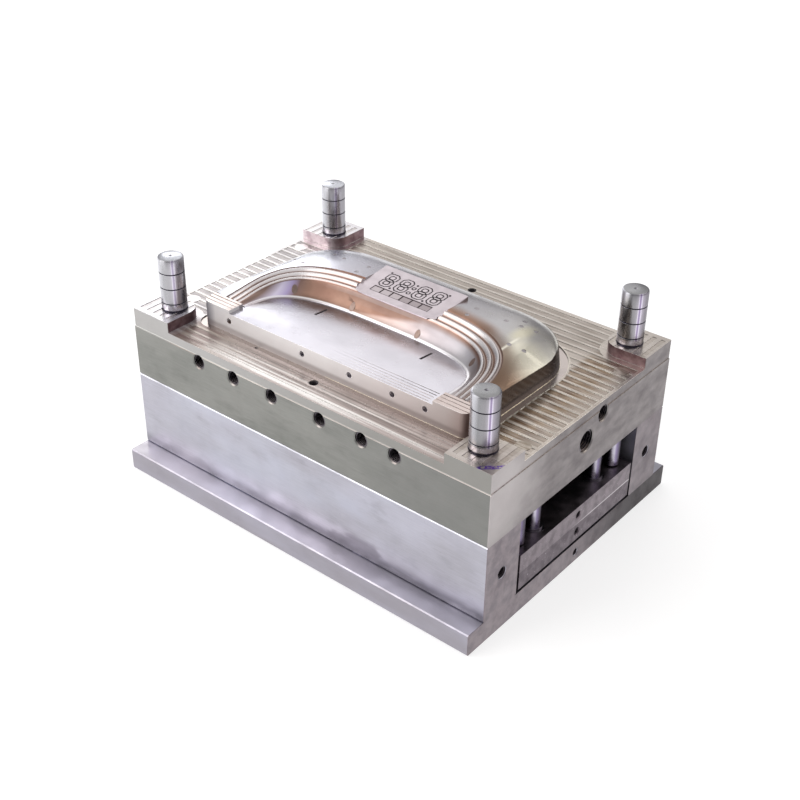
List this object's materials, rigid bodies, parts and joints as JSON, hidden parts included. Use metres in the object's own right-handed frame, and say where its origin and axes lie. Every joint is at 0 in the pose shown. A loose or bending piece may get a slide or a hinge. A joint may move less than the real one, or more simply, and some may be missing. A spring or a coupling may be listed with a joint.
{
  "type": "injection mould half",
  "caption": "Moving half of a two-plate injection mould: arched polished core with ribs and a display face, guide pillars on corner pads, ejector plates in the spacer box.",
  "frame": {"origin": "centre of the clamp plate's bottom face", "axes": "+X along the long side, -Y towards the cooling ports, +Z in the opening direction, from the clamp plate to the parting plane"},
  "size_m": [0.6, 0.46, 0.325],
  "materials": {
    "frame_steel": "ground",
    "core_plate_steel": "milled in stripes on top, ground on the sides",
    "core_steel": "polished",
    "insert_steel": "fine satin",
    "ejector_plate_steel": "milled",
    "pillar_steel": "ground and polished",
    "pin_steel": "ground",
    "hardened_steel": "turned",
    "screw_steel": "black oxide"
  },
  "bodies": {
    "mould_half": {"clamp_plate": "frame_steel", "spacer_block_front": "frame_steel", "spacer_block_rear": "frame_steel", "core_plate": "core_plate_steel", "core_block": "core_steel", "display_insert": "insert_steel", "rest_buttons": "hardened_steel", "clamp_screws": "screw_steel", "support_screws": "screw_steel", "core_screws": "screw_steel", "display_screws": "screw_steel", "spacer_dowels": "pin_steel", "guide_pillar_front_left": "pillar_steel", "guide_pillar_front_right": "pillar_steel", "guide_pillar_rear_left": "pillar_steel", "guide_pillar_rear_right": "pillar_steel", "ejector_guide_pin_front_left": "pin_steel", "ejector_guide_pin_front_right": "pin_steel", "ejector_guide_pin_rear_left": "pin_steel", "ejector_guide_pin_rear_right": "pin_steel", "support_pillar_1": "hardened_steel", "support_pillar_2": "hardened_steel", "support_pillar_3": "hardened_steel", "support_pillar_4": "hardened_steel"},
    "ejector_set": {"ejector_retainer_plate": "ejector_plate_steel", "ejector_base_plate": "ejector_plate_steel", "ejector_pins": "pin_steel", "ejector_blades": "pin_steel", "ejector_plate_screws": "screw_steel", "return_pin_front_left": "pin_steel", "return_pin_front_right": "pin_steel", "return_pin_rear_left": "pin_steel", "return_pin_rear_right": "pin_steel", "ejector_guide_bush_front_left": "hardened_steel", "ejector_guide_bush_front_right": "hardened_steel", "ejector_guide_bush_rear_left": "hardened_steel", "ejector_guide_bush_rear_right": "hardened_steel"}
  },
  "joints": [
    {"name": "ejector_slide", "type": "slide", "parent": "mould_half", "child": "ejector_set", "axis": [0, 0, 1], "range_m": [0, 0.05]}
  ]
}
